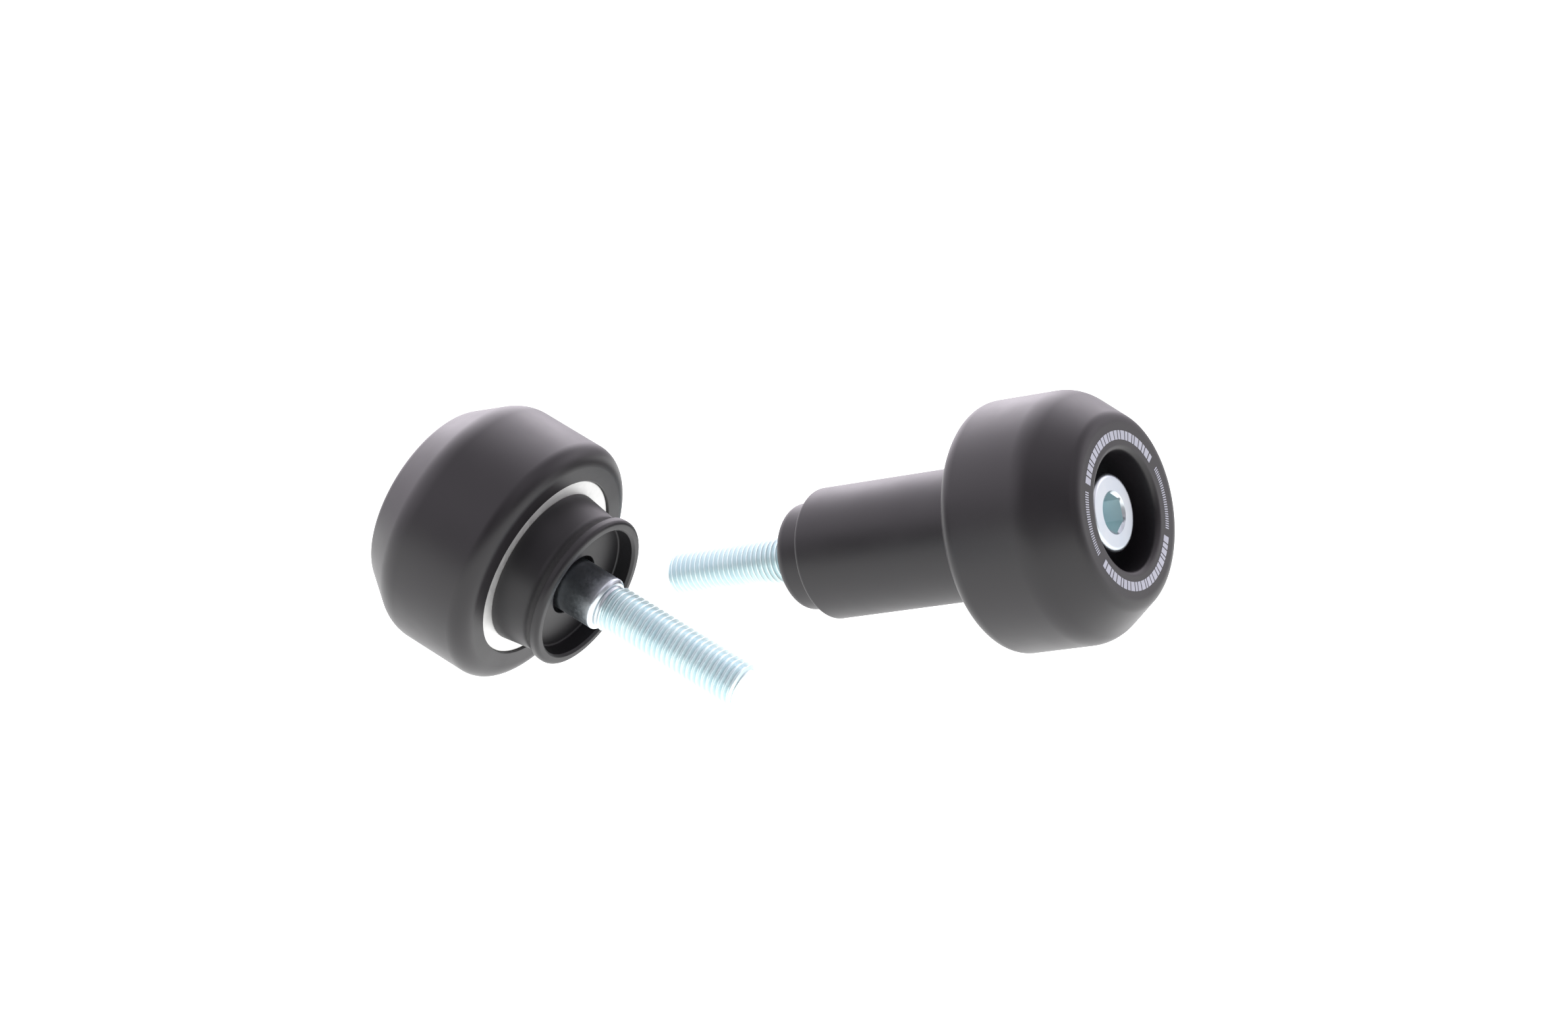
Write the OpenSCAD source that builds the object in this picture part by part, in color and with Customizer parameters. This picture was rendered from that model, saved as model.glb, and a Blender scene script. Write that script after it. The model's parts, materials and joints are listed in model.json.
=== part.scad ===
// A pair of handlebar end sliders, lying on a table. Each unit is a plastic bobbin on a flanged
// metal insert, held to the handlebar by a socket cap bolt through its middle. The left unit has
// a short collar with a cup for the end of the bar, the right unit has a long spacer.
//
// A unit is drawn along its own axis: s runs from the outer face (s = 0) towards the bolt's tip,
// and r is the radius. Every outline is a list of [r, s] points turned about that axis.
// Millimetres, +Z up, the table is z = 0.

/* [Bobbin] */
// Outside diameter of the bobbin
bobbin_d = 42; // [36:0.5:52]
// Length of the bobbin, from its outer face to its back face
bobbin_l = 23.6; // [21:0.2:30]
// Diameter where the flat outer face would meet the cone
face_d = 31.4; // [28:0.2:34]
// Length of the cone along the axis
cone_l = 7.6; // [5:0.1:10]
// Round between the outer face and the cone
face_round = 2.6; // [1:0.1:3]
// Round between the cone and the barrel
barrel_round = 6; // [2:0.2:7]
// Round of the back corner
back_round = 2.9; // [1:0.1:3.6]
// Radial gap between the bolt's head and its counterbore
head_gap = 3.35; // [1.5:0.05:4.5]
// Round at the mouth of the counterbore
mouth_round = 0.9; // [0.3:0.1:1.4]
// Depth of the bolt's head below the outer face
head_recess = 2.5; // [1:0.1:4]

/* [Insert] */
// Outside diameter of the insert's flange
flange_d = 31; // [26:0.2:34]
// Thickness of the flange
flange_t = 2; // [1.2:0.1:3]
// Depth of the flange below the bobbin's back face
flange_drop = 0.4; // [0:0.1:1]
// Outside diameter of the insert's sleeve inside the bobbin
sleeve_d = 13; // [12:0.1:15]
// Outside diameter of the register that locates the collar or the spacer
register_d = 16; // [15:0.1:18]
// Height of the register above the flange
register_h = 3; // [2:0.1:4]
// Thickness of the washer under the bolt's head
washer_t = 1.6; // [1:0.1:2.2]

/* [Collar of the left unit] */
// Diameter of the cup that takes the end of the handlebar
cup_d = 22.3; // [18:0.1:28]
// Wall of the collar around the cup, at its waist
cup_wall = 1; // [0.8:0.05:3]
// Height of the lip above the waist
lip_h = 0.8; // [0.1:0.1:1.5]
// Height of the collar's foot above the waist
foot_h = 0.95; // [0:0.05:2]
// Width of the lip along the axis
lip_w = 1.4; // [1.2:0.1:3]
// Length of the collar
collar_l = 9.1; // [8:0.1:12]
// Depth of the cup
cup_depth = 3.1; // [2:0.1:3.6]

/* [Spacer of the right unit] */
// Outside diameter of the spacer
spacer_d = 22.4; // [20:0.1:26]
// Length of the spacer without its spigot
spacer_l = 35.2; // [20:0.1:60]
// Diameter of the spigot
spigot_d = 18.2; // [15:0.1:19.5]
// Length of the spigot
spigot_l = 5.6; // [4:0.1:10]
// Round at the spigot's end
spigot_round = 1.7; // [0.5:0.1:2]

/* [Bolts] */
// Diameter over the crests of a bolt's thread
thread_d = 7.9; // [7:0.1:8]
// Diameter of the right bolt's plain shank
shank_d = 8; // [7.2:0.1:8.4]
// Diameter of a bolt's head
head_d = 13; // [12:0.1:15]
// Height of a bolt's head
head_h = 8; // [6:0.1:9]
// Width across the flats of the hexagon socket
hex_af = 6; // [5:0.5:7]
// Depth of the hexagon socket
hex_depth = 4; // [3:0.1:5]
// Diameter of the shoulder of the left bolt
shoulder_d = 9; // [8.5:0.1:9.5]
// Length of the left bolt's shoulder, under its head
shoulder_l = 25.7; // [22:0.1:34]
// Length of the left bolt's thread, with its run-out groove
left_thread_l = 27.2; // [16:0.1:40]
// Length of the right bolt under its head
right_bolt_l = 80; // [66:1:110]
// Length of the right bolt's thread
right_thread_l = 26; // [16:1:40]
// Chamfer at a bolt's tip
tip_chamfer = 0.5; // [0.3:0.1:1.2]

/* [Fits] */
// Radial gap between a bolt and the insert or the washer that it turns in
running_gap = 0.07; // [0.03:0.01:0.1]
// Gap along the axis between a loose bolt's head and its washer
seat_gap = 0.02; // [0.01:0.01:0.1]
// Radial gap between a washer and its counterbore
washer_gap = 0.1; // [0.05:0.01:0.3]
// Radial gap around the left bolt's shoulder in the collar
collar_gap = 0.6; // [0.3:0.05:1]
// Radial gap around the right bolt in the spacer
spacer_gap = 0.4; // [0.3:0.05:1]

/* [Layout] */
// Angle of the left unit's axis to the row's X axis, as seen from above
left_heading = 31.2; // [0:0.1:45]
// Angle of the right unit's axis to the row's X axis, as seen from above
right_heading = 33.2; // [0:0.1:45]
// Distance between the two outer faces' centres along X
face_gap = 111.8; // [100:0.1:160]

/* [Hidden] */
$fn = 96;

black = "#2c2b2e";
plated = "#b4c0c8";
alloy = "#cfcdd0";

// s of the underside of the head, of the washer's two sides, of the bobbin's back, and of the
// flange's land that the collar or the spacer stands on
seat_s = head_recess + head_h;
washer_s = seat_s + seat_gap;
floor_s = washer_s + washer_t;
back_s = bobbin_l;
land_s = back_s - flange_drop;
collar_end_s = land_s + collar_l;
cup_floor_s = collar_end_s - cup_depth;
step_s = land_s + spacer_l;
spacer_end_s = step_s + spigot_l;
shoulder_end_s = seat_s + shoulder_l;
left_tip_s = shoulder_end_s + left_thread_l;
right_tip_s = seat_s + right_bolt_l;

// What goes round the bolts takes its size from them
head_bore_r = head_d / 2 + head_gap;
collar_hole_r = shoulder_d / 2 + collar_gap;
spacer_hole_r = shank_d / 2 + spacer_gap;
waist_r = cup_d / 2 + cup_wall;
lip_r = waist_r + lip_h;
foot_r = waist_r + foot_h;

// Bore of each insert: the left one passes the shoulder, the right one the plain shank
left_bore_r = shoulder_d / 2 + running_gap;
right_bore_r = shank_d / 2 + running_gap;
collar_lip_round = 0.7;
spacer_edge_round = 0.7;
head_edge = 0.8;
shoulder_chamfer = 0.5;
groove_w = 0.5;
groove_depth = 0.5;
waist_round = 2.5;
runout_w = 1;
runout_depth = 0.3;
register_lead = 0.4;
lip_inner_edge = 0.4;
cup_edge = 0.3;

// ---- outlines -------------------------------------------------------------------------------

// Points of a round of radius size at corner b of the path a, b, c. Each point is [r, s].
function rounded(a, b, c, size, steps = 6) =
    let (u = (a - b) / norm(a - b),
         v = (c - b) / norm(c - b),
         half = acos(u * v) / 2,
         middle = b + (u + v) / norm(u + v) * size / sin(half),
         first = b + u * size / tan(half) - middle,
         last = b + v * size / tan(half) - middle,
         from = atan2(first[1], first[0]),
         turn = (atan2(last[1], last[0]) - from + 540) % 360 - 180)
    [for (i = [0:steps]) middle + size * [cos(from + turn * i / steps), sin(from + turn * i / steps)]];

module turned(outline) {
    rotate_extrude() polygon(outline);
}

// The outside of the bobbin, from its outer face round to its back face
function bobbin_skin() = concat(
    rounded([0, 0], [face_d / 2, 0], [bobbin_d / 2, cone_l], face_round),
    rounded([face_d / 2, 0], [bobbin_d / 2, cone_l], [bobbin_d / 2, back_s], barrel_round, 8),
    rounded([bobbin_d / 2, cone_l], [bobbin_d / 2, back_s], [0, back_s], back_round, 8));

function collar_skin() = concat(
    [[foot_r, land_s]],
    rounded([foot_r, land_s], [waist_r, collar_end_s - lip_w - 2 * lip_h],
            [lip_r, collar_end_s - lip_w], waist_round, 5),
    [[lip_r, collar_end_s - lip_w]],
    rounded([lip_r, land_s], [lip_r, collar_end_s], [0, collar_end_s], collar_lip_round, 5));

function spacer_skin() = concat(
    [[spacer_d / 2, land_s]],
    rounded([spacer_d / 2, land_s], [spacer_d / 2, step_s], [0, step_s], spacer_edge_round, 4),
    [[spigot_d / 2, step_s]],
    rounded([spigot_d / 2, step_s], [spigot_d / 2, spacer_end_s], [0, spacer_end_s], spigot_round));

// The free end of a bolt
function tip(tip_s) = [[thread_d / 2, tip_s - tip_chamfer], [thread_d / 2 - tip_chamfer, tip_s]];

// ---- sub-parts, each along its own axis -----------------------------------------------------

// Plastic bobbin: counterbore from the outer face, recess for the insert's flange in the back
module bobbin() {
    color(black) turned(concat(
        rounded([head_bore_r, floor_s], [head_bore_r, 0], [face_d / 2, 0], mouth_round, 5),
        bobbin_skin(),
        [[flange_d / 2, back_s], [flange_d / 2, land_s - flange_t],
         [sleeve_d / 2, land_s - flange_t], [sleeve_d / 2, floor_s], [head_bore_r, floor_s]]));
}

// Flanged sleeve that carries the bolt's load from the washer to the collar or the spacer
module insert(bore_r) {
    color(alloy) turned([
        [bore_r, floor_s], [sleeve_d / 2, floor_s], [sleeve_d / 2, land_s - flange_t],
        [flange_d / 2, land_s - flange_t], [flange_d / 2, land_s], [register_d / 2, land_s],
        [register_d / 2, land_s + register_h - register_lead],
        [register_d / 2 - register_lead, land_s + register_h], [bore_r, land_s + register_h]]);
}

// Washer at the bottom of the counterbore
module washer(bore_r) {
    outer_r = head_bore_r - washer_gap;
    color(plated) turned([[bore_r, washer_s], [outer_r, washer_s], [outer_r, floor_s], [bore_r, floor_s]]);
}

// Head of a socket cap bolt with its hexagon socket
module bolt_head() {
    difference() {
        turned([[0, head_recess], [head_d / 2 - head_edge, head_recess],
                [head_d / 2, head_recess + head_edge], [head_d / 2, seat_s], [0, seat_s]]);
        translate([0, 0, head_recess - 1])
            cylinder(h = hex_depth + 1, d = hex_af / cos(30), $fn = 6);
    }
}

// Shoulder bolt of the left unit: plain shoulder, run-out groove, thread
module left_bolt_solid() {
    color(plated) union() {
        bolt_head();
        turned(concat(
            [[0, seat_s], [shoulder_d / 2, seat_s],
             [shoulder_d / 2, shoulder_end_s - shoulder_chamfer],
             [shoulder_d / 2 - shoulder_chamfer, shoulder_end_s],
             [thread_d / 2 - groove_depth, shoulder_end_s],
             [thread_d / 2 - groove_depth, shoulder_end_s + groove_w],
             [thread_d / 2, shoulder_end_s + groove_w + groove_depth]],
            tip(left_tip_s), [[0, left_tip_s]]));
    }
}

// Long cap bolt of the right unit: plain shank, a small step, thread
module right_bolt_solid() {
    thread_s = right_tip_s - right_thread_l;
    color(plated) union() {
        bolt_head();
        turned(concat(
            [[0, seat_s], [shank_d / 2, seat_s], [shank_d / 2, thread_s - runout_w],
             [thread_d / 2 - runout_depth, thread_s - runout_w / 2], [thread_d / 2, thread_s]],
            tip(right_tip_s), [[0, right_tip_s]]));
    }
}

module collar() {
    color(black) turned(concat(
        collar_skin(),
        [[cup_d / 2 + lip_inner_edge, collar_end_s], [cup_d / 2, collar_end_s - lip_inner_edge],
         [cup_d / 2, cup_floor_s + cup_edge], [cup_d / 2 - cup_edge, cup_floor_s],
         [collar_hole_r, cup_floor_s],
         [collar_hole_r, land_s + register_h],
         [register_d / 2, land_s + register_h], [register_d / 2, land_s]]));
}

module spacer() {
    color(black) turned(concat(
        spacer_skin(),
        [[spacer_hole_r, spacer_end_s], [spacer_hole_r, land_s + register_h],
         [register_d / 2, land_s + register_h], [register_d / 2, land_s]]));
}

// ---- how a unit lies on the table -----------------------------------------------------------

// Tilt of a unit that rests on its back corner and on the edge of its bolt's tip
function rest_tilt(tip_s) =
    let (drop = bobbin_d / 2 - back_round - thread_d / 2,
         run = tip_s - tip_chamfer - (back_s - back_round))
    atan(drop / run) + asin(back_round / norm([drop, run]));

// Unit vector of an axis that points down the slope, from the outer face to the bolt's tip
function slope(tilt, turn) = [cos(tilt) * cos(turn), cos(tilt) * sin(turn), -sin(tilt)];

// How far an outline turned about the axis along reaches in direction way, from the outer face
function reach(outline, along, way) =
    max([for (p = outline) p[1] * (along * way) + p[0] * sqrt(max(0, 1 - pow(along * way, 2)))]);

left_outline = concat(bobbin_skin(), collar_skin(), tip(left_tip_s));
right_outline = concat(bobbin_skin(), spacer_skin(), tip(right_tip_s));
left_tilt = rest_tilt(left_tip_s);
right_tilt = rest_tilt(right_tip_s);
left_axis = slope(left_tilt, -left_heading);
right_axis = slope(right_tilt, 180 - right_heading);

// The row's origin is the middle of the pair's box, on the table
low_x = -face_gap / 2 - reach(left_outline, left_axis, [-1, 0, 0]);
high_x = face_gap / 2 + reach(right_outline, right_axis, [1, 0, 0]);
low_y = -max(reach(left_outline, left_axis, [0, -1, 0]), reach(right_outline, right_axis, [0, -1, 0]));
high_y = max(reach(left_outline, left_axis, [0, 1, 0]), reach(right_outline, right_axis, [0, 1, 0]));
middle_x = (low_x + high_x) / 2;
middle_y = (low_y + high_y) / 2;
left_height = reach(left_outline, left_axis, [0, 0, -1]);
right_height = reach(right_outline, right_axis, [0, 0, -1]);

module place_left() {
    translate([-face_gap / 2 - middle_x, -middle_y, left_height])
        rotate([0, 90 + left_tilt, -left_heading]) children();
}

module place_right() {
    translate([face_gap / 2 - middle_x, -middle_y, right_height])
        rotate([0, 90 + right_tilt, 180 - right_heading]) children();
}

module left_bobbin() { place_left() bobbin(); }
module left_insert() { place_left() insert(left_bore_r); }
module left_collar() { place_left() collar(); }
module left_washer() { place_left() washer(left_bore_r); }
module left_bolt() { place_left() left_bolt_solid(); }
module right_bobbin() { place_right() bobbin(); }
module right_insert() { place_right() insert(right_bore_r); }
module right_spacer() { place_right() spacer(); }
module right_washer() { place_right() washer(right_bore_r); }
module right_bolt() { place_right() right_bolt_solid(); }

left_bobbin();
left_insert();
left_collar();
left_washer();
left_bolt();
right_bobbin();
right_insert();
right_spacer();
right_washer();
right_bolt();
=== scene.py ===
import json
import math

import bmesh
import bpy
import numpy as np
from mathutils import Matrix, Vector


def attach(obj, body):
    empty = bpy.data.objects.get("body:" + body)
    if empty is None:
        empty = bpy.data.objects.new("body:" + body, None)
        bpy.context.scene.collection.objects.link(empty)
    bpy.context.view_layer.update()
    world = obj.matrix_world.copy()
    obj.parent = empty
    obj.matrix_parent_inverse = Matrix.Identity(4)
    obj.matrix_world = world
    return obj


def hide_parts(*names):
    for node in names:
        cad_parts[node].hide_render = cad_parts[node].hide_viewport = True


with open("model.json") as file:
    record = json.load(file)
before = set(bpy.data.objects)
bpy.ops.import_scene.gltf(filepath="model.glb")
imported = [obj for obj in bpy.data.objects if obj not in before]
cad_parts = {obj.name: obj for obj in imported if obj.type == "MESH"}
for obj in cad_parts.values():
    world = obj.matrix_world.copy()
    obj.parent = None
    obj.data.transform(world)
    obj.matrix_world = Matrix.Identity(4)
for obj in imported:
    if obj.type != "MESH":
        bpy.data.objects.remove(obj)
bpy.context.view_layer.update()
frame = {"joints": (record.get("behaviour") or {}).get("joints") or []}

MM = 0.001

# Points round a turned part and round a bolt
AROUND = 192
BOLT_AROUND = 144

# Sizes in millimetres. s is the distance along a unit's axis from its outer face, so a name that
# ends in _S is a place on that axis and a name that ends in _R is a radius. Other names are lengths.

# Bolts
HEAD_R = 6.5
HEAD_S = 2.5
HEAD_LENGTH = 8.0
SEAT_S = HEAD_S + HEAD_LENGTH
SHANK_R = 4.0
CREST_R = 3.95
TIP_CHAMFER = 0.5
PITCH = 1.0
HEX_R = 3.0
HEX_CORNER_R = 3.44
HEX_DEPTH = 4.0
SOCKET_MOUTH_R = 3.56
HEAD_ROUND = 0.8
KNURL_DEPTH = 0.13

# Left bolt, with its shoulder and the groove after it
SHOULDER_R = 4.5
SHOULDER_LENGTH = 25.7
SHOULDER_END_S = SEAT_S + SHOULDER_LENGTH
SHOULDER_CHAMFER = 0.5
GROOVE = 0.5
LEFT_LENGTH = 52.9
LEFT_TIP_S = SEAT_S + LEFT_LENGTH

# Right bolt, whose thread comes to its full depth over RUN_OUT
RIGHT_LENGTH = 80.0
RIGHT_TIP_S = SEAT_S + RIGHT_LENGTH
RIGHT_THREAD = 28.0
RUN_OUT = 1.6 * PITCH

# Bobbin
BOBBIN_R = 21.0
FACE_R = 15.7
CONE_S = 7.6
BACK_S = 23.6
HEAD_GAP = 3.35
HEAD_BORE_R = HEAD_R + HEAD_GAP

# Washer and insert
SEAT_GAP = 0.02
WASHER_S = SEAT_S + SEAT_GAP
WASHER_THICKNESS = 1.6
FLOOR_S = WASHER_S + WASHER_THICKNESS
WASHER_GAP = 0.1
WASHER_R = HEAD_BORE_R - WASHER_GAP
FLANGE_R = 15.5
FLANGE_DROP = 0.4
LAND_S = BACK_S - FLANGE_DROP
FLANGE_THICKNESS = 2.0
FLANGE_S = LAND_S - FLANGE_THICKNESS
SLEEVE_R = 6.5
REGISTER_R = 8.0
REGISTER_HEIGHT = 3.0
REGISTER_S = LAND_S + REGISTER_HEIGHT
REGISTER_CHAMFER = 0.4
RUNNING_GAP = 0.07
LEFT_BORE = SHOULDER_R + RUNNING_GAP
RIGHT_BORE = SHANK_R + RUNNING_GAP

# Collar of the left unit
CUP_R = 11.15
CUP_WALL = 1.0
WAIST_R = CUP_R + CUP_WALL
FOOT_HEIGHT = 0.95
FOOT_R = WAIST_R + FOOT_HEIGHT
LIP_HEIGHT = 0.8
LIP_R = WAIST_R + LIP_HEIGHT
COLLAR_LENGTH = 9.1
COLLAR_END_S = LAND_S + COLLAR_LENGTH
LIP_WIDTH = 1.4
LIP_S = COLLAR_END_S - LIP_WIDTH
WAIST_S = LIP_S - 2 * LIP_HEIGHT
CUP_DEPTH = 3.1
CUP_FLOOR_S = COLLAR_END_S - CUP_DEPTH
CUP_CHAMFER = 0.4
COLLAR_HOLE_R = 5.1

# Spacer of the right unit
SPACER_R = 11.2
SPACER_LENGTH = 35.2
STEP_S = LAND_S + SPACER_LENGTH
SPIGOT_R = 9.1
SPIGOT_LENGTH = 5.6
SPACER_END_S = STEP_S + SPIGOT_LENGTH
SPACER_HOLE_R = 4.4


# ---- outlines and meshes --------------------------------------------------------------------

# Steps of an arc, and of an arc whose radius is SMALL_ROUND or less
ARC_STEPS = 12
SMALL_ARC_STEPS = 4
SMALL_ROUND = 0.5

# A stretch longer than LONG_STRETCH gets a point HOLD away from each of its ends
LONG_STRETCH = 0.8
HOLD = 0.12

# Faces that meet at more than this many degrees have a sharp edge between them
SHARP_ANGLE = 32

# Points closer than MERGE_METRES become one, and edges shorter than SPECK_METRES go
MERGE_METRES = 2e-6
SPECK_METRES = 1e-6


def outline(corners, closed=True):
    """Points [r, s] along a path whose corners (r, s, round) are rounded."""
    points = []
    count = len(corners)
    for i, (r, s, size) in enumerate(corners):
        b = np.array([r, s], float)
        if size == 0 or (not closed and i in (0, count - 1)):
            points.append(b)
            continue
        a = np.array(corners[i - 1][:2], float)
        c = np.array(corners[(i + 1) % count][:2], float)
        u = (a - b) / np.linalg.norm(a - b)
        v = (c - b) / np.linalg.norm(c - b)
        half = math.acos(float(np.clip(u @ v, -1, 1))) / 2
        middle = b + (u + v) / np.linalg.norm(u + v) * size / math.sin(half)
        first = b + u * size / math.tan(half) - middle
        last = b + v * size / math.tan(half) - middle
        start = math.atan2(first[1], first[0])
        turn = (math.atan2(last[1], last[0]) - start + 3 * math.pi) % (2 * math.pi) - math.pi
        number = ARC_STEPS if size > SMALL_ROUND else SMALL_ARC_STEPS
        for k in range(number + 1):
            angle = start + turn * k / number
            points.append(middle + size * np.array([math.cos(angle), math.sin(angle)]))
    return held(points, closed)


def held(points, closed):
    """Adds a point close to each end of every long stretch, so that flat faces shade flat."""
    result = []
    count = len(points)
    for i, p in enumerate(points):
        result.append(p)
        if i == count - 1 and not closed:
            break
        q = points[(i + 1) % count]
        length = np.linalg.norm(q - p)
        if length > LONG_STRETCH:
            step = (q - p) / length * HOLD
            result.extend([p + step, q - step])
    return result


def add_mesh(name, verts, faces):
    """A smooth-shaded object from points in metres, with its doubled points joined."""
    mesh = bpy.data.meshes.new(name)
    mesh.from_pydata(verts, [], faces)
    work = bmesh.new()
    work.from_mesh(mesh)
    bmesh.ops.remove_doubles(work, verts=work.verts, dist=MERGE_METRES)
    bmesh.ops.dissolve_degenerate(work, edges=work.edges, dist=SPECK_METRES)
    bmesh.ops.recalc_face_normals(work, faces=work.faces)
    work.to_mesh(mesh)
    work.free()
    mesh.shade_smooth()
    mesh.set_sharp_from_angle(angle=math.radians(SHARP_ANGLE))
    piece = bpy.data.objects.new(name, mesh)
    bpy.context.scene.collection.objects.link(piece)
    return piece


def ring(radii, heights, count):
    """Points of one ring. radii and heights are numbers or arrays with one value per point."""
    angle = np.arange(count) * 2 * math.pi / count
    x = radii * np.cos(angle) * MM
    y = radii * np.sin(angle) * MM
    z = heights * np.ones(count) * MM
    return np.stack([x, y, z], axis=1)


def turned(name, corners):
    """A closed outline turned about the axis."""
    points = outline(corners)
    verts = np.concatenate([ring(r, s, AROUND) for r, s in points])
    faces = []
    for k in range(len(points)):
        a = k * AROUND
        b = (k + 1) % len(points) * AROUND
        for i in range(AROUND):
            j = (i + 1) % AROUND
            faces.append((a + i, a + j, b + j, b + i))
    return add_mesh(name, verts.tolist(), faces)


# ---- bolts ----------------------------------------------------------------------------------

# One turn of thread: places along the pitch, and the share of the depth that is cut away at each
THREAD_STOPS = [0.0, 0.05, 0.21, 0.37, 0.5, 0.63, 0.79, 0.95]
THREAD_SHARES = [0.0, 0.03, 0.5, 0.97, 1.03, 0.97, 0.5, 0.03]
THREAD_DEPTH = 0.58


def bridge(rows, verts, faces):
    """Joins rings of equal length, given as arrays of points, into one skin."""
    base = len(verts)
    count = len(rows[0])
    for row in rows:
        verts.extend(row.tolist())
    for k in range(len(rows) - 1):
        a = base + k * count
        b = a + count
        for i in range(count):
            j = (i + 1) % count
            faces.append((a + i, a + j, b + j, b + i))


def cap(row, centre, verts, faces):
    """Closes a ring with a fan to a point on the axis at s = centre."""
    base = len(verts)
    verts.extend(row.tolist())
    verts.append([0, 0, centre * MM])
    for i in range(len(row)):
        faces.append((base + i, base + (i + 1) % len(row), base + len(row)))


def add_thread(verts, faces, start, end, limit):
    """A helical thread from s = start to s = end. limit(s, share) gives its radius."""
    per_turn = len(THREAD_STOPS)
    turns = int((end - start) / PITCH) + 3
    base = len(verts)
    inside = []
    for k in range(turns * per_turn):
        place = start + (k // per_turn - 1 + THREAD_STOPS[k % per_turn]) * PITCH
        share = THREAD_SHARES[k % per_turn]
        for i in range(BOLT_AROUND):
            angle = i * 2 * math.pi / BOLT_AROUND
            wanted = place + PITCH * i / BOLT_AROUND
            s = min(max(wanted, start), end)
            r = limit(s, share)
            verts.append([r * math.cos(angle) * MM, r * math.sin(angle) * MM, s * MM])
            inside.append(start < wanted < end)
    for k in range(turns * per_turn - 1):
        for i in range(BOLT_AROUND):
            if i < BOLT_AROUND - 1:
                corners = [(k, i), (k, i + 1), (k + 1, i + 1), (k + 1, i)]
            else:
                corners = [(k, i), (k + per_turn, 0), (k + per_turn + 1, 0), (k + 1, i)]
            if max(row for row, _ in corners) >= turns * per_turn:
                continue
            local = [row * BOLT_AROUND + column for row, column in corners]
            if any(inside[n] for n in local):
                faces.append(tuple(base + n for n in local))


def bolt_head(verts, faces, under):
    """A cap screw's head, from its socket out over the rim and down to s = SEAT_S, r = under."""
    count = BOLT_AROUND
    angle = np.arange(count) * 2 * math.pi / count
    off_flat = (angle + math.pi / 6) % (math.pi / 3) - math.pi / 6
    hexagon = np.minimum(HEX_R / np.cos(off_flat), HEX_CORNER_R)
    hexagon = np.roll(hexagon, count // 12)
    bottom = HEAD_S + HEX_DEPTH
    mouth = np.full(count, SOCKET_MOUTH_R)
    # From the drilled bottom up the hexagon's flats to its mouth and onto the face
    rows = [
        ring(2.86, bottom + 0.1, count),
        ring(2.9, bottom, count),
        ring(hexagon * 0.985, bottom - 0.02, count),
        ring(hexagon, bottom - 0.12, count),
        ring(hexagon, HEAD_S + 0.52, count),
        ring(hexagon + 0.02, HEAD_S + 0.4, count),
        ring(np.maximum(mouth, hexagon + 0.06), HEAD_S + 0.06, count),
        ring(mouth + 0.05, HEAD_S, count),
        ring(mouth + 0.2, HEAD_S, count),
    ]
    cap(rows[0], bottom + 1.3, verts, faces)
    tooth = np.array([0.0, 1.0, 0.55])[np.arange(count) % 3]

    # The face, its rounded rim, and the knurl, which starts below the rim and ends above the seat
    rim = [(4.2, HEAD_S, 0), (HEAD_R, HEAD_S, HEAD_ROUND), (HEAD_R, SEAT_S - 5, 0)]
    for r, s in outline(rim, False):
        share = min(max((s - HEAD_S - 0.5) / 0.4, 0), 1)
        rows.append(ring(r - KNURL_DEPTH * share * tooth, s, count))
    rows.append(ring(HEAD_R - KNURL_DEPTH * tooth, SEAT_S - 0.9, count))
    rows.append(ring(HEAD_R, SEAT_S - 0.7, count))
    seat = [(HEAD_R, SEAT_S - 0.6, 0), (HEAD_R, SEAT_S, 0.3), (under, SEAT_S, 0)]
    for r, s in outline(seat, False):
        rows.append(ring(r, s, count))
    bridge(rows, verts, faces)


def thread_tip(verts, faces, tip_s):
    """The flat end of a bolt, with a shallow dimple where its bar was parted off."""
    rows = [
        ring(CREST_R - TIP_CHAMFER, tip_s, BOLT_AROUND),
        ring(CREST_R - TIP_CHAMFER - 0.15, tip_s, BOLT_AROUND),
        ring(0.9, tip_s, BOLT_AROUND),
        ring(0.75, tip_s - 0.04, BOLT_AROUND),
    ]
    bridge(rows, verts, faces)
    cap(rows[-1], tip_s - 0.12, verts, faces)


def shoulder_bolt(name):
    """The left bolt: a plain shoulder, a groove, and a thread that is smaller than the shoulder."""
    verts = []
    faces = []
    bolt_head(verts, faces, SHOULDER_R)
    groove_r = CREST_R - GROOVE
    start = SHOULDER_END_S + GROOVE
    path = outline([
        (SHOULDER_R, SEAT_S, 0),
        (SHOULDER_R, SHOULDER_END_S - SHOULDER_CHAMFER, 0.5),
        (SHOULDER_R - SHOULDER_CHAMFER, SHOULDER_END_S, 0.2),
        (groove_r, SHOULDER_END_S, 0.2),
        (groove_r, start, 0),
    ], False)
    bridge([ring(r, s, BOLT_AROUND) for r, s in path], verts, faces)

    def limit(s, share):
        rise = groove_r + (s - start)
        fall = CREST_R - max(s - (LEFT_TIP_S - TIP_CHAMFER), 0)
        return min(CREST_R - THREAD_DEPTH * share, rise, fall)

    add_thread(verts, faces, start, LEFT_TIP_S, limit)
    thread_tip(verts, faces, LEFT_TIP_S)
    return add_mesh(name, verts, faces)


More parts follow.
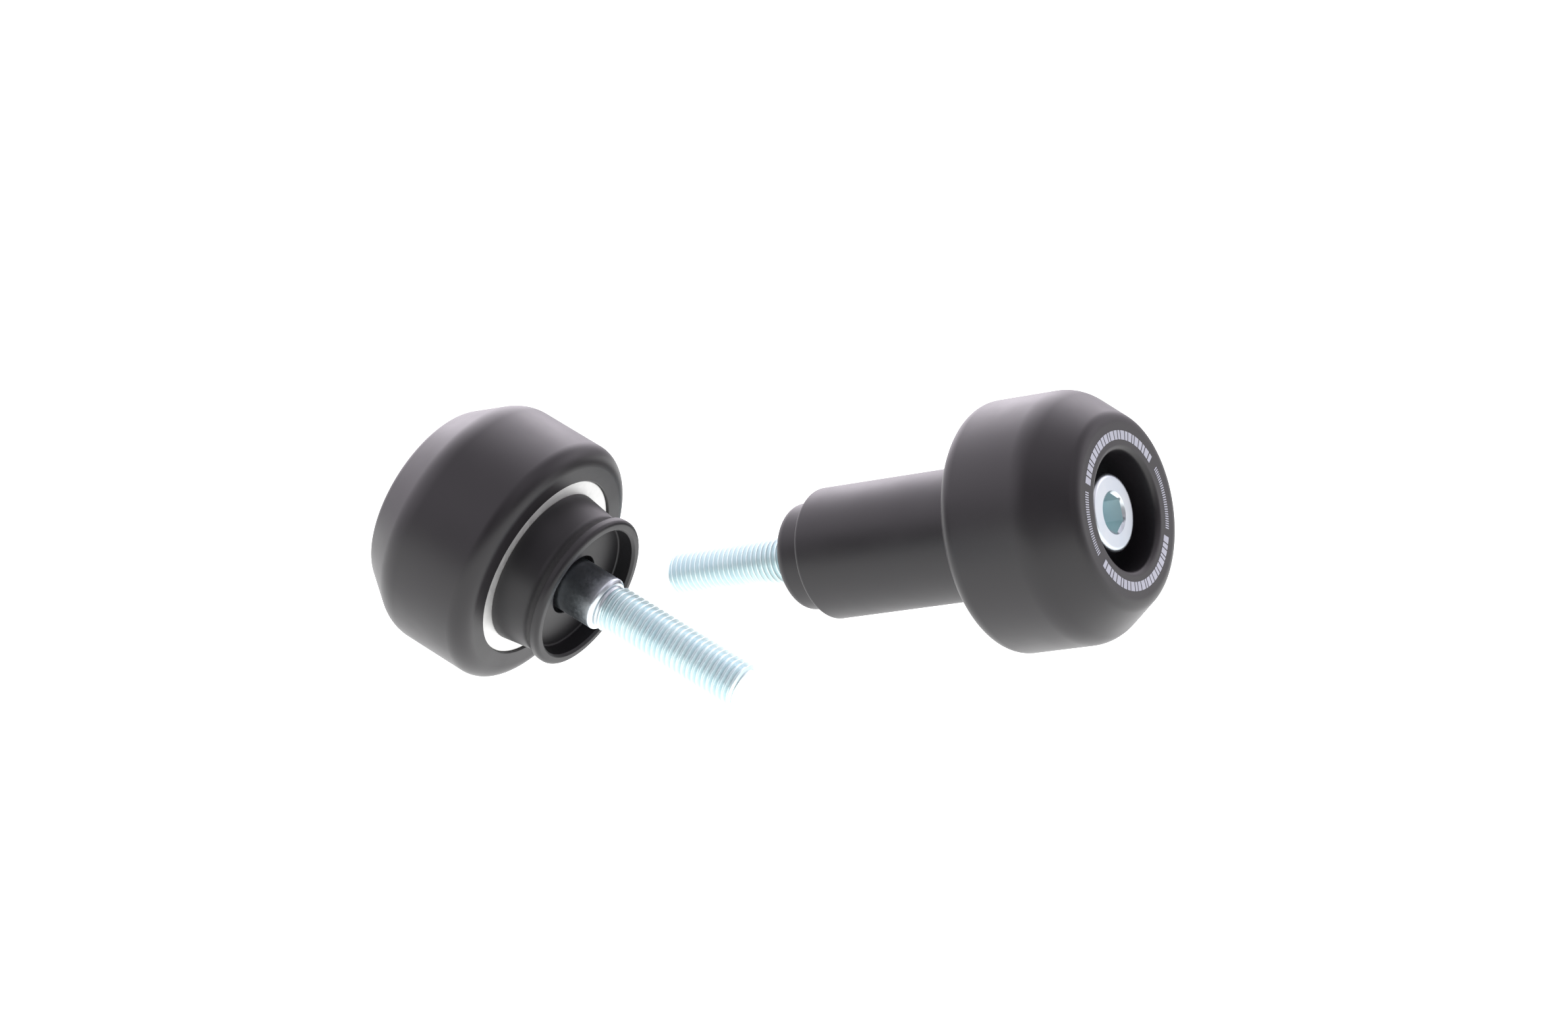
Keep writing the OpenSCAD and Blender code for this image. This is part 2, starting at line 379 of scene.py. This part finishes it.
def long_bolt(name):
    """The right bolt: a plain shank, and a thread that runs out into it."""
    verts = []
    faces = []
    bolt_head(verts, faces, SHANK_R)
    start = RIGHT_TIP_S - RIGHT_THREAD
    path = held([np.array([SHANK_R, SEAT_S]), np.array([SHANK_R, start])], False)
    bridge([ring(r, s, BOLT_AROUND) for r, s in path], verts, faces)

    def limit(s, share):
        deep = min((s - start) / RUN_OUT, 1)
        skin = SHANK_R - (SHANK_R - CREST_R) * deep
        fall = CREST_R - max(s - (RIGHT_TIP_S - TIP_CHAMFER), 0)
        return min(skin - THREAD_DEPTH * share * deep, fall)

    add_thread(verts, faces, start, RIGHT_TIP_S, limit)
    thread_tip(verts, faces, RIGHT_TIP_S)
    return add_mesh(name, verts, faces)


# ---- print on the outer faces ---------------------------------------------------------------

# The printed ring, with angles in degrees and sizes in millimetres. The bars' widths repeat in
# this order. A bold arc starts BARS_BEFORE its middle, and its last bar starts before BARS_AFTER.
PRINT_HEIGHT = 0.02
BAR_WIDTHS = [5.2, 3.6, 4.6, 2.4, 5.2, 4.2, 3.0]
BAR_GAP = 1.1
BAR_RADII = (11.6, 13.1)
BARS_BEFORE = 60
BARS_AFTER = 58
TICKS_EACH_WAY = 13
TICK_PITCH = 1.8
TICK_WIDTH = 0.9
TICK_RADII = (12.0, 13.0)
MARK_STEP = 0.6


def print_ring(name):
    """A ring of printed marks: two arcs of bold bars and two arcs of fine ticks."""
    verts = []
    faces = []

    def mark(middle, width, radii):
        columns = max(int(width / MARK_STEP), 1) + 1
        base = len(verts)
        for k in range(columns):
            angle = math.radians(middle + width * (k / (columns - 1) - 0.5))
            for r in radii:
                for s in (0.0, -PRINT_HEIGHT):
                    verts.append([r * math.cos(angle) * MM, r * math.sin(angle) * MM, s * MM])
        for k in range(columns - 1):
            a = base + 4 * k
            b = a + 4
            faces.append((a + 1, a + 3, b + 3, b + 1))
            faces.append((a, a + 1, b + 1, b))
            faces.append((a + 3, a + 2, b + 2, b + 3))
        last = base + 4 * (columns - 1)
        faces.append((base, base + 2, base + 3, base + 1))
        faces.append((last, last + 1, last + 3, last + 2))

    for middle in (0, 180):
        angle = middle - BARS_BEFORE
        k = 0
        while angle < middle + BARS_AFTER:
            width = BAR_WIDTHS[k % len(BAR_WIDTHS)]
            mark(angle + width / 2, width, BAR_RADII)
            angle += width + BAR_GAP
            k += 1
        for tick in range(-TICKS_EACH_WAY, TICKS_EACH_WAY + 1):
            mark(middle + 90 + tick * TICK_PITCH, TICK_WIDTH, TICK_RADII)
    return add_mesh(name, verts, faces)


# ---- materials ------------------------------------------------------------------------------

# Depth of the bumps in metres, and the middle stretch of a noise that is spread over a range
BUMP_METRES = 0.00001
NOISE_LOW = 0.3
NOISE_HIGH = 0.7


def node_set(name):
    """A new material, its tree, its shader, and the object's own coordinates in metres."""
    material = bpy.data.materials.new(name)
    material.use_nodes = True
    tree = material.node_tree
    shader = tree.nodes["Principled BSDF"]
    coords = tree.nodes.new("ShaderNodeTexCoord")
    return material, tree, shader, coords.outputs["Object"]


def noise(tree, vector, scale, detail=3.0):
    node = tree.nodes.new("ShaderNodeTexNoise")
    node.inputs["Scale"].default_value = scale
    node.inputs["Detail"].default_value = detail
    node.inputs["Roughness"].default_value = 0.55
    tree.links.new(vector, node.inputs["Vector"])
    return node.outputs["Fac"]


def turning(tree, vector, scale):
    """Noise that only changes along the axis and outwards from it, as a lathe leaves it."""
    split = tree.nodes.new("ShaderNodeSeparateXYZ")
    tree.links.new(vector, split.inputs["Vector"])
    flat = tree.nodes.new("ShaderNodeVectorMath")
    flat.operation = "MULTIPLY"
    flat.inputs[1].default_value = (1, 1, 0)
    tree.links.new(vector, flat.inputs[0])
    length = tree.nodes.new("ShaderNodeVectorMath")
    length.operation = "LENGTH"
    tree.links.new(flat.outputs["Vector"], length.inputs[0])
    total = tree.nodes.new("ShaderNodeMath")
    total.operation = "ADD"
    tree.links.new(split.outputs["Z"], total.inputs[0])
    tree.links.new(length.outputs["Value"], total.inputs[1])
    node = tree.nodes.new("ShaderNodeTexNoise")
    node.noise_dimensions = "1D"
    node.inputs["Scale"].default_value = scale
    node.inputs["Detail"].default_value = 4.0
    tree.links.new(total.outputs["Value"], node.inputs["W"])
    return node.outputs["Fac"]


def mapped(tree, value, low, high):
    node = tree.nodes.new("ShaderNodeMapRange")
    node.inputs["From Min"].default_value = NOISE_LOW
    node.inputs["From Max"].default_value = NOISE_HIGH
    node.inputs["To Min"].default_value = low
    node.inputs["To Max"].default_value = high
    tree.links.new(value, node.inputs["Value"])
    return node.outputs["Result"]


def blend_colours(tree, value, first, second):
    node = tree.nodes.new("ShaderNodeMix")
    node.data_type = "RGBA"
    colours = [i for i in node.inputs if i.type == "RGBA"]
    colours[0].default_value = (*first, 1)
    colours[1].default_value = (*second, 1)
    tree.links.new(value, node.inputs["Factor"])
    return [o for o in node.outputs if o.type == "RGBA"][0]


def bumped(tree, shader, heights):
    """Chains bumps (value, strength) into the shader's normal."""
    last = None
    for value, strength in heights:
        node = tree.nodes.new("ShaderNodeBump")
        node.inputs["Strength"].default_value = strength
        node.inputs["Distance"].default_value = BUMP_METRES
        tree.links.new(value, node.inputs["Height"])
        if last is not None:
            tree.links.new(last, node.inputs["Normal"])
        last = node.outputs["Normal"]
    tree.links.new(last, shader.inputs["Normal"])


def black_plastic(name, rough_low, rough_high, base):
    """Moulded plastic: a soft cloud in colour and gloss, fine grain, faint turning lines."""
    material, tree, shader, place = node_set(name)
    cloud = noise(tree, place, scale=90.0)
    grain = noise(tree, place, scale=2600.0, detail=2.0)
    lines = turning(tree, place, scale=1500.0)
    dark = tuple(c * 0.88 for c in base)
    light = tuple(c * 1.15 for c in base)
    colour = blend_colours(tree, mapped(tree, cloud, 0, 1), dark, light)
    tree.links.new(colour, shader.inputs["Base Color"])
    tree.links.new(mapped(tree, cloud, rough_low, rough_high), shader.inputs["Roughness"])
    shader.inputs["IOR"].default_value = 1.47
    bumped(tree, shader, [(grain, 0.12), (lines, 0.1)])
    return material


def plated_metal(name, first, second, rough_low, rough_high, marks):
    """Turned metal between two colours. marks is the strength of its turning lines."""
    material, tree, shader, place = node_set(name)
    cloud = noise(tree, place, scale=220.0)
    grain = noise(tree, place, scale=1800.0, detail=2.0)
    lines = turning(tree, place, scale=2400.0)
    colour = blend_colours(tree, mapped(tree, cloud, 0, 1), first, second)
    tree.links.new(colour, shader.inputs["Base Color"])
    shader.inputs["Metallic"].default_value = 1.0
    tree.links.new(mapped(tree, grain, rough_low, rough_high), shader.inputs["Roughness"])
    bumped(tree, shader, [(grain, 0.05), (lines, marks)])
    return material


BOBBIN_BLACK = black_plastic("bobbin_black", 0.38, 0.46, (0.0085, 0.0072, 0.009))
COLLAR_BLACK = black_plastic("collar_black", 0.4, 0.48, (0.0052, 0.0046, 0.006))
SPACER_BLACK = black_plastic("spacer_black", 0.42, 0.5, (0.009, 0.0078, 0.0096))
PRINT = black_plastic("print_grey", 0.5, 0.6, (0.38, 0.39, 0.45))
INSERT_ALLOY = plated_metal("insert_alloy", (0.76, 0.76, 0.75), (0.84, 0.84, 0.83), 0.5, 0.6, 0.12)
WASHER_ZINC = plated_metal("washer_zinc", (0.5, 0.58, 0.62), (0.6, 0.66, 0.68), 0.32, 0.42, 0.1)
BOLT_ZINC = plated_metal("bolt_zinc", (0.52, 0.58, 0.63), (0.58, 0.62, 0.64), 0.28, 0.36, 0.05)
# The same zinc again, painted lighter and bluer for the thread and the socket: painted light, not
# another finish
ZINC_PAINTED_LIGHTER = plated_metal("zinc_painted_lighter", (0.6, 0.73, 0.76), (0.66, 0.77, 0.78), 0.42, 0.5, 0.03)


# ---- the two units --------------------------------------------------------------------------

def unit_place(joint_name):
    """A unit's own frame: origin at the middle of its outer face, Z along its axis, X upwards."""
    joint = [j for j in frame["joints"] if j["name"] == joint_name][0]
    along = -Vector(joint["axis"]).normalized()
    origin = Vector(joint["pos_m"]) - along * SEAT_S * MM
    side = along.cross(Vector((0, 0, 1))).normalized()
    up = side.cross(along).normalized()
    place = Matrix((up, along.cross(up), along)).transposed().to_4x4()
    place.translation = origin
    return place


def finish_piece(piece, place, body, slot, material, *nodes):
    """Puts a piece in its unit's frame, on its body, in place of the CAD nodes it replaces."""
    piece.data.materials.append(material)
    piece.matrix_world = place
    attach(piece, body)
    if nodes:
        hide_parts(*nodes)


def finish_bolt(piece, thread_start, place, body, *nodes):
    """The head and the shank take the zinc; the thread and the hexagon socket take a copy of it
    painted lighter and bluer, as painted light.
    """
    finish_piece(piece, place, body, "bolt_zinc", BOLT_ZINC, *nodes)
    piece.data.materials.append(ZINC_PAINTED_LIGHTER)
    for face in piece.data.polygons:
        r = math.hypot(face.center.x, face.center.y) / MM
        s = face.center.z / MM
        in_socket = r < SOCKET_MOUTH_R + 0.04 and HEAD_S + 0.3 < s < SEAT_S
        if in_socket or s > thread_start:
            face.material_index = 1


BOBBIN = [
    (HEAD_BORE_R, 0, 0.9),
    (FACE_R, 0, 2.6),
    (BOBBIN_R, CONE_S, 6.0),
    (BOBBIN_R, BACK_S, 2.9),
    (FLANGE_R, BACK_S, 0.15),
    (FLANGE_R, FLANGE_S, 0.05),
    (SLEEVE_R, FLANGE_S, 0.05),
    (SLEEVE_R, FLOOR_S, 0.05),
    (HEAD_BORE_R, FLOOR_S, 0.2),
]


def insert_outline(bore):
    return [
        (bore, FLOOR_S, 0.1),
        (SLEEVE_R, FLOOR_S, 0.1),
        (SLEEVE_R, FLANGE_S, 0.05),
        (FLANGE_R, FLANGE_S, 0.05),
        (FLANGE_R, LAND_S, 0.2),
        (REGISTER_R, LAND_S, 0.05),
        (REGISTER_R, REGISTER_S - REGISTER_CHAMFER, 0.1),
        (REGISTER_R - REGISTER_CHAMFER, REGISTER_S, 0.1),
        (bore, REGISTER_S, 0.15),
    ]


def washer_outline(bore):
    return [
        (bore, WASHER_S, 0.15),
        (WASHER_R, WASHER_S, 0.2),
        (WASHER_R, FLOOR_S, 0.2),
        (bore, FLOOR_S, 0.15),
    ]


COLLAR = [
    (FOOT_R, LAND_S, 0.15),
    (WAIST_R, WAIST_S, 2.5),
    (LIP_R, LIP_S, 0.8),
    (LIP_R, COLLAR_END_S, 0.7),
    (CUP_R + CUP_CHAMFER, COLLAR_END_S, 0.15),
    (CUP_R, COLLAR_END_S - CUP_CHAMFER, 0.15),
    (CUP_R, CUP_FLOOR_S, 0.3),
    (COLLAR_HOLE_R, CUP_FLOOR_S, 0.2),
    (COLLAR_HOLE_R, REGISTER_S, 0.1),
    (REGISTER_R, REGISTER_S, 0.05),
    (REGISTER_R, LAND_S, 0.05),
]

SPACER = [
    (SPACER_R, LAND_S, 0.1),
    (SPACER_R, STEP_S, 0.7),
    (SPIGOT_R, STEP_S, 0.3),
    (SPIGOT_R, SPACER_END_S, 1.7),
    (SPACER_HOLE_R, SPACER_END_S, 0.3),
    (SPACER_HOLE_R, REGISTER_S, 0.1),
    (REGISTER_R, REGISTER_S, 0.05),
    (REGISTER_R, LAND_S, 0.05),
]

left = unit_place("left_bolt_spin")
right = unit_place("right_bolt_spin")

finish_piece(turned("left_bobbin_turned", BOBBIN), left, "left_unit", "bobbin_plastic",
             BOBBIN_BLACK, "left_bobbin")
finish_piece(print_ring("left_print"), left, "left_unit", "bobbin_plastic", PRINT)
finish_piece(turned("left_insert_turned", insert_outline(LEFT_BORE)), left, "left_unit",
             "insert_alloy", INSERT_ALLOY, "left_insert")
finish_piece(turned("left_collar_turned", COLLAR), left, "left_unit", "collar_plastic",
             COLLAR_BLACK, "left_collar")
finish_piece(turned("left_washer_turned", washer_outline(LEFT_BORE)), left, "left_washer_body",
             "washer_zinc", WASHER_ZINC, "left_washer")
finish_bolt(shoulder_bolt("left_shoulder_bolt"), SHOULDER_END_S + GROOVE, left,
            "left_bolt_body", "left_bolt")

finish_piece(turned("right_bobbin_turned", BOBBIN), right, "right_unit", "bobbin_plastic",
             BOBBIN_BLACK, "right_bobbin")
finish_piece(print_ring("right_print"), right, "right_unit", "bobbin_plastic", PRINT)
finish_piece(turned("right_insert_turned", insert_outline(RIGHT_BORE)), right, "right_unit",
             "insert_alloy", INSERT_ALLOY, "right_insert")
finish_piece(turned("right_spacer_turned", SPACER), right, "right_unit", "spacer_plastic",
             SPACER_BLACK, "right_spacer")
finish_piece(turned("right_washer_turned", washer_outline(RIGHT_BORE)), right, "right_washer_body",
             "washer_zinc", WASHER_ZINC, "right_washer")
finish_bolt(long_bolt("right_long_bolt"), RIGHT_TIP_S - RIGHT_THREAD, right,
            "right_bolt_body", "right_bolt")


# ---- floor, light, camera -------------------------------------------------------------------

# Half the floor's width and its drop below the object, in metres
FLOOR_HALF = 6
FLOOR_DROP = 0.00005

# The floor's own brightness, and the share and roughness of its gloss
FLOOR_GLOW = 2.05
FLOOR_GLOSS = 0.02
FLOOR_ROUGHNESS = 0.25

floor_corners = [(x * FLOOR_HALF, y * FLOOR_HALF, 0) for x, y in ((-1, -1), (1, -1), (1, 1), (-1, 1))]
floor_mesh = bpy.data.meshes.new("floor")
floor_mesh.from_pydata(floor_corners, [], [(0, 1, 2, 3)])
floor = bpy.data.objects.new("floor", floor_mesh)
floor.location.z = -FLOOR_DROP
bpy.context.scene.collection.objects.link(floor)
white = bpy.data.materials.new("floor_white")
white.use_nodes = True
nodes = white.node_tree.nodes
links = white.node_tree.links
nodes.clear()
glow = nodes.new("ShaderNodeEmission")
glow.inputs["Strength"].default_value = FLOOR_GLOW
sheen = nodes.new("ShaderNodeBsdfGlossy")
sheen.inputs["Roughness"].default_value = FLOOR_ROUGHNESS
sheen.inputs["Color"].default_value = (1, 1, 1, 1)
both = nodes.new("ShaderNodeMixShader")
both.inputs["Fac"].default_value = FLOOR_GLOSS
out = nodes.new("ShaderNodeOutputMaterial")
links.new(glow.outputs["Emission"], both.inputs[1])
links.new(sheen.outputs["BSDF"], both.inputs[2])
links.new(both.outputs["Shader"], out.inputs["Surface"])
floor_mesh.materials.append(white)

# Soft lights round the object: the direction each one lies in, and its strength. A least-squares
# fit to the object's brightness gave the strengths. The front one's, 0.5, was set outside the fit.
SOFT_LIGHTS = [
    ((-0.73, 0.67, 0.10), 0.86),
    ((-0.96, -0.17, 0.23), 0.78),
    ((-0.25, 0.92, 0.32), 3.9),
    ((0.86, 0.31, 0.40), 2.56),
    ((-0.83, 0.34, 0.45), 1.62),
    ((0.37, -0.79, 0.49), 0.5),
    ((0.25, 0.80, 0.54), 3.89),
    ((-0.70, -0.41, 0.58), 1.6),
    ((0.76, -0.17, 0.63), 0.37),
    ((-0.43, 0.61, 0.67), 1.69),
    ((-0.60, 0.02, 0.80), 0.85),
    ((0.38, -0.38, 0.85), 1.02),
    ((-0.02, 0.46, 0.89), 2.88),
    ((-0.23, -0.27, 0.93), 0.78),
]

# A soft light fades with the cosine of the angle from its middle, to the power LIGHT_FOCUS
LIGHT_FOCUS = 14.0
BASE_LIGHT = 0.06
STUDIO_TINT = (1.0, 0.94, 1.02, 1)

world = bpy.data.worlds.new("studio")
bpy.context.scene.world = world
world.use_nodes = True
nodes = world.node_tree.nodes
links = world.node_tree.links
nodes.clear()
direction = nodes.new("ShaderNodeTexCoord")
total = None
for toward, strength in SOFT_LIGHTS:
    facing = nodes.new("ShaderNodeVectorMath")
    facing.operation = "DOT_PRODUCT"
    facing.inputs[1].default_value = toward
    links.new(direction.outputs["Generated"], facing.inputs[0])
    front = nodes.new("ShaderNodeMath")
    front.operation = "MAXIMUM"
    front.inputs[1].default_value = 0.0
    links.new(facing.outputs["Value"], front.inputs[0])
    soft = nodes.new("ShaderNodeMath")
    soft.operation = "POWER"
    soft.inputs[1].default_value = LIGHT_FOCUS
    links.new(front.outputs["Value"], soft.inputs[0])
    scaled = nodes.new("ShaderNodeMath")
    scaled.operation = "MULTIPLY_ADD"
    scaled.inputs[1].default_value = strength
    scaled.inputs[2].default_value = BASE_LIGHT
    links.new(soft.outputs["Value"], scaled.inputs[0])
    if total is not None:
        scaled.inputs[2].default_value = 0.0
        links.new(total, scaled.inputs[2])
    total = scaled.outputs["Value"]

# The camera sees plain white, and everything else sees the soft lights
studio = nodes.new("ShaderNodeBackground")
studio.inputs["Color"].default_value = STUDIO_TINT
links.new(total, studio.inputs["Strength"])
plain = nodes.new("ShaderNodeBackground")
plain.inputs["Strength"].default_value = 1.0
plain.inputs["Color"].default_value = (1, 1, 1, 1)
path = nodes.new("ShaderNodeLightPath")
choose = nodes.new("ShaderNodeMixShader")
out = nodes.new("ShaderNodeOutputWorld")
links.new(path.outputs["Is Camera Ray"], choose.inputs["Fac"])
links.new(studio.outputs["Background"], choose.inputs[1])
links.new(plain.outputs["Background"], choose.inputs[2])
links.new(choose.outputs["Shader"], out.inputs["Surface"])

# The camera's lens in millimetres, its place in metres, and how far it looks down in degrees
LENS = 94.47
CAMERA_PLACE = (0.0007, -0.6580, 0.1633)
CAMERA_DOWN = 11.96

camera_data = bpy.data.cameras.new("camera")
camera_data.lens = LENS
camera_data.sensor_width = 36.0
camera_data.clip_start = 0.01
camera = bpy.data.objects.new("camera", camera_data)
camera.location = CAMERA_PLACE
camera.rotation_euler = (math.radians(90 - CAMERA_DOWN), 0, 0)
bpy.context.scene.collection.objects.link(camera)
bpy.context.scene.camera = camera

bpy.context.scene.view_settings.view_transform = "Standard"
